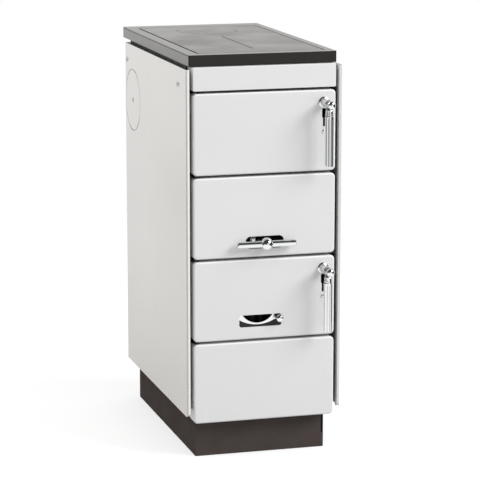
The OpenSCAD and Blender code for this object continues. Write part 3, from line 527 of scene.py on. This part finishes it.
def burnished(name, base, brown, soot_and_shade):
    """Ground cast iron, browned in patches by heat and oil; its edges stay black; a dark ring at
    the lid's edge is sooting plus painted shade of the joint, and painted shade runs along the
    plate's left edge.
    """
    m, t, p = material(name, base, rough=0.36)
    v = coords(t)
    place, normal = surface(t)
    up = rise(t, part_of(t, normal, "Z"), *UP_TURN)
    patches = noise(t, coords(t, PATCH_STRETCH), scale=9, detail=3, rough=0.6)
    tone = blend(t, rise(t, patches, *PATCH_LEVELS), base, brown)
    marks = noise(t, coords(t, MARK_STRETCH), scale=6, detail=4, rough=0.6)
    tone = blend(t, rise(t, marks, *MARK_LEVELS, to=MARK_AMOUNT), tone, MARK)
    low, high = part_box("hob_lid")
    centre = [(a + b) / 2 for a, b in zip(low, high)]
    off = away_from(t, radius(t, place, centre, "XY"), (high[0] - low[0]) / 2)
    # Dark ring at the lid's edge: sooted joint and painted shade of the groove
    tone = blend(t, fall(t, off, *LID_LINE, start=LID_LINE_AMOUNT), tone, soot_and_shade)
    # Painted shade along the plate's left edge: black, without metal or gloss
    rim = minus(t, part_of(t, place, "X"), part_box("hob_plate")[0][0])
    beyond_rim_shade = rise(t, rim, *PLATE_RIM_SHADE)
    tone = blend(t, beyond_rim_shade, soot_and_shade, tone)
    t.links.new(blend(t, up, soot_and_shade, tone), p.inputs["Base Color"])
    t.links.new(product(t, up, beyond_rim_shade), p.inputs["Metallic"])
    t.links.new(product(t, beyond_rim_shade, PLATE_SPEC), p.inputs["Specular IOR Level"])
    wear = noise(t, v, scale=7, detail=3, rough=0.55)
    rough = remap(t, wear, *NOISE_SPAN, *PLATE_ROUGH)
    t.links.new(rough, p.inputs["Roughness"])
    grinding = noise(t, coords(t, GRINDING_STRETCH), scale=2, detail=4)
    bump(t, p, grinding, strength=0.05, distance=0.00008)
    return m


# Each material slot's finish, and the worn edges of the CAD pieces

MATS = {
    "enamel_white": enamel_front("enamel_white", (0.80, 0.80, 0.797), rough=0.11),
    "enamel_panel": enamel_side("enamel_panel", (0.79, 0.778, 0.745), rough=0.2),
    "enamel_brown": paint("enamel_brown", (0.082, 0.067, 0.0625), rough=0.75, spec=0.01),
    "hob_enamel": hob_frame_finish("hob_enamel", paint_base=(0.0165, 0.0138, 0.0122),
                                   ground=(0.16, 0.155, 0.147)),
    "hob_cast": burnished("hob_cast", (0.246, 0.235, 0.226), brown=(0.218, 0.196, 0.182),
                          soot_and_shade=(0.012, 0.011, 0.01)),
    "steel_black": paint("steel_black", (0.018, 0.017, 0.016), rough=0.65, spec=0.3),
    "cast_black": cast("cast_black", (0.03, 0.028, 0.027), rough=0.7),
    "firebrick": cast("firebrick", (0.47, 0.36, 0.235), rough=0.92, grain=260, strength=0.7),
    "bright_chrome": chrome("bright_chrome", (0.76, 0.77, 0.78), rough=0.05),
    "zinc_steel": metal("zinc_steel", (0.55, 0.545, 0.53), rough=0.34, stretch=(1, 6, 1),
                        strength=0.12),
    "slide_black": paint("slide_black", (0.019, 0.018, 0.017), rough=0.55, spec=0.3),
    "ash_steel": metal("ash_steel", (0.17, 0.165, 0.155), rough=0.45, stretch=(1, 5, 1),
                       strength=0.15),
    "seal_rope": cast("seal_rope", (0.11, 0.105, 0.1), rough=0.95, grain=320, strength=0.9),
}
SLOT = {s["node"]: s["material_slot"] for s in frame["record"]["subparts"]}
BEVEL = {
    "hob_frame": 0.0017, "hob_plate": 0.0004, "hob_lid": 0.0004,
    "plinth_front": 0.0005, "plinth_frame": 0.0004, "grate": 0.0008, "firebox_floor": 0.0008,
    "brick_left": 0.0015, "brick_right": 0.0015, "brick_back": 0.0015, "brick_front": 0.0015,
    "flue_collar": 0.0006, "air_slide": 0.0002, "fuel_handle": 0.0002, "ash_handle": 0.0002,
}
for name, o in nodes.items():
    o.data.materials.clear()
    o.data.materials.append(MATS[SLOT[name]])
    dress(o, BEVEL.get(name, 0.0))


# Small fasteners that the solids leave out: each profile gives radii and places along the axis

CUP = [(0.0021, -0.0002), (0.0066, -0.0002), (0.0066, 0.0004), (0.0058, 0.0014), (0.0046, 0.0019),
       (0.0043, 0.0019), (0.0043, 0.0006), (0.0021, 0.0006)]
WASHER = [(0.003, 0.0), (0.0058, 0.0), (0.0058, 0.001), (0.003, 0.001)]
BOLT_HEAD = [(0.0046, 0.001), (0.0046, 0.0042), (0.004, 0.005)]
SCREW_BEHIND_FRONT, SCREW_BEFORE_BACK, SCREW_BELOW_TOP = 0.065, 0.018, 0.036
BOLT_X = -0.0135


def lathe(name, profile, at, axis, sides, slot, body):
    """Ring or head turned round an axis; a head's outer end is closed."""
    axis = Vector(axis).normalized()
    up = Vector((0, 0, 1))
    across = axis.cross(up)
    verts, faces = [], []
    for r, d in profile:
        for i in range(sides):
            a = 2 * math.pi * i / sides
            verts.append(Vector(at) + axis * d + (up * math.cos(a) + across * math.sin(a)) * r)
    last = len(profile) - 1
    for k in range(last):
        for i in range(sides):
            j = (i + 1) % sides
            faces.append((k * sides + i, k * sides + j, (k + 1) * sides + j, (k + 1) * sides + i))
    if profile[-1][0] < profile[0][0]:
        faces.append(tuple(last * sides + i for i in range(sides)))
    me = bpy.data.meshes.new(name)
    me.from_pydata(verts, [], faces)
    me.update()
    o = bpy.data.objects.new(name, me)
    bpy.context.scene.collection.objects.link(o)
    o.data.materials.append(MATS[slot])
    dress(o)
    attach(o, body)


panel_low, panel_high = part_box("side_panel_left")
for side in (-1, 1):
    for y in (panel_low[1] + SCREW_BEHIND_FRONT, panel_high[1] - SCREW_BEFORE_BACK):
        lathe("screw_cup", CUP, (side * -panel_low[0], y, panel_high[2] - SCREW_BELOW_TOP),
              axis=(side, 0, 0), sides=40, slot="zinc_steel", body="casing")
rod_low, rod_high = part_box("grate_rod")
bolt_at = (BOLT_X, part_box("front_frame")[0][1], (rod_low[2] + rod_high[2]) / 2)
lathe("frame_washer", WASHER, bolt_at, axis=(0, -1, 0), sides=32, slot="zinc_steel",
      body="casing")
lathe("frame_bolt", BOLT_HEAD, bolt_at, axis=(0, -1, 0), sides=6, slot="bright_chrome",
      body="casing")


# Stage, light and camera

FLOOR_AT = (-0.3, -0.7, -0.0005)
FLOOR_SIZE = (2.7, 6.0)
FLOOR_COLOUR = (0.45, 0.45, 0.45)
FLOOR_LIFT = 0.66                      # added for the camera and reflections, never as light
SOFT_LIGHT = 0.68                      # strength of the world as a light
STUDIO_DARK = 0.06                     # the unlit studio, in reflections
# Directions of a reflection: limits of one component of the ray
BACKDROP_Y = (-0.05, 0.3)
SOFTBOX_Z = (0.3, 0.42)
SOFTBOX_LEFT_X = (-0.95, -0.88)
SOFTBOX_RIGHT_X = (0.45, 0.55)
CORNER_X = (-0.1, 0.0)
CORNER_Z = (-0.02, 0.08)

YAW, PITCH, ROLL = (math.radians(a) for a in (15.929, 11.2178, 0.0129))
CAMERA_AT = (-1.325, -4.7562, 1.3852)
FOCAL_PIXELS = 2289.2
FRAME_PIXELS = 480
SENSOR_MM = 36


def mix_shader(t, fac, a, b):
    m = t.nodes.new("ShaderNodeMixShader")
    for socket, value in zip(m.inputs, (fac, a, b)):
        t.links.new(value, socket)
    return m.outputs[0]


def white_floor():
    """Pale floor that looks white and keeps the object's shadow."""
    bpy.ops.mesh.primitive_plane_add(size=1, location=FLOOR_AT)
    f = bpy.context.object
    f.scale = (*FLOOR_SIZE, 1)
    f.name = "floor"
    m = bpy.data.materials.new("floor_white")
    m.use_nodes = True
    t = m.node_tree
    t.nodes.clear()
    out = t.nodes.new("ShaderNodeOutputMaterial")
    lit = t.nodes.new("ShaderNodeBsdfDiffuse")
    lit.inputs["Color"].default_value = (*FLOOR_COLOUR, 1)
    lift = t.nodes.new("ShaderNodeEmission")
    path = t.nodes.new("ShaderNodeLightPath").outputs
    seen = larger(t, path["Is Camera Ray"], path["Is Glossy Ray"])
    seen = larger(t, seen, path["Is Transmission Ray"])
    t.links.new(product(t, seen, FLOOR_LIFT), lift.inputs["Strength"])
    add = t.nodes.new("ShaderNodeAddShader")
    t.links.new(lit.outputs[0], add.inputs[0])
    t.links.new(lift.outputs[0], add.inputs[1])
    t.links.new(add.outputs[0], out.inputs["Surface"])
    f.data.materials.append(m)


def world():
    """Soft light all round; the camera sees white, and metal a backdrop, softbox and studio."""
    w = bpy.data.worlds.new("studio")
    bpy.context.scene.world = w
    w.use_nodes = True
    t = w.node_tree
    t.nodes.clear()
    out = t.nodes.new("ShaderNodeOutputWorld")
    path = t.nodes.new("ShaderNodeLightPath").outputs
    soft, white, shine = (t.nodes.new("ShaderNodeBackground") for _ in range(3))
    for b in (soft, white, shine):
        b.inputs["Color"].default_value = (1, 1, 1, 1)
    soft.inputs["Strength"].default_value = SOFT_LIGHT
    ray = t.nodes.new("ShaderNodeTexCoord").outputs["Generated"]
    x, y, z = (part_of(t, ray, axis) for axis in "XYZ")
    middle = product(t, fall(t, x, *SOFTBOX_RIGHT_X), rise(t, x, *SOFTBOX_LEFT_X))
    corner = product(t, fall(t, x, *CORNER_X), rise(t, z, *CORNER_Z))
    softbox = product(t, fall(t, z, *SOFTBOX_Z), product(t, middle, fall(t, corner, 0.0, 1.0)))
    front = remap(t, softbox, 0, 1, STUDIO_DARK, 1.0)
    t.links.new(larger(t, rise(t, y, *BACKDROP_Y), front), shine.inputs["Strength"])
    seen = larger(t, path["Is Camera Ray"], path["Is Transmission Ray"])
    light = mix_shader(t, path["Is Glossy Ray"], soft.outputs[0], shine.outputs[0])
    t.links.new(mix_shader(t, seen, light, white.outputs[0]), out.inputs["Surface"])


def area(name, at, aim, size, power):
    """Rectangular lamp at one place, aimed at another."""
    d = bpy.data.lights.new(name, "AREA")
    d.shape = "RECTANGLE"
    d.size, d.size_y = size
    d.energy = power
    o = bpy.data.objects.new(name, d)
    bpy.context.scene.collection.objects.link(o)
    o.location = at
    o.rotation_euler = (Vector(aim) - Vector(at)).to_track_quat("-Z", "Y").to_euler()


def camera():
    """Camera at the photograph's viewing angle, without shift."""
    ahead = Vector((math.sin(YAW) * math.cos(PITCH), math.cos(YAW) * math.cos(PITCH),
                    -math.sin(PITCH)))
    level = Vector((math.cos(YAW), -math.sin(YAW), 0))
    upward = level.cross(ahead)
    right = math.cos(ROLL) * level + math.sin(ROLL) * upward
    up = -math.sin(ROLL) * level + math.cos(ROLL) * upward
    d = bpy.data.cameras.new("camera")
    d.lens = FOCAL_PIXELS / FRAME_PIXELS * SENSOR_MM
    d.sensor_width = SENSOR_MM
    d.clip_end = 50
    o = bpy.data.objects.new("camera", d)
    bpy.context.scene.collection.objects.link(o)
    rows = [(r, u, -a, c) for r, u, a, c in zip(right, up, ahead, CAMERA_AT)]
    o.matrix_world = Matrix((*rows, (0, 0, 0, 1)))
    bpy.context.scene.camera = o


white_floor()
world()
area("key", at=(5.0, -4.15, 5.0), aim=(0.0, -0.3, 0.5), size=(4.4, 3.6), power=412)
area("fill", at=(-1.7, 0.3, 2.3), aim=(-0.1, 0, 0.8), size=(0.9, 0.9), power=11)
camera()
bpy.context.scene.view_settings.view_transform = "Standard"
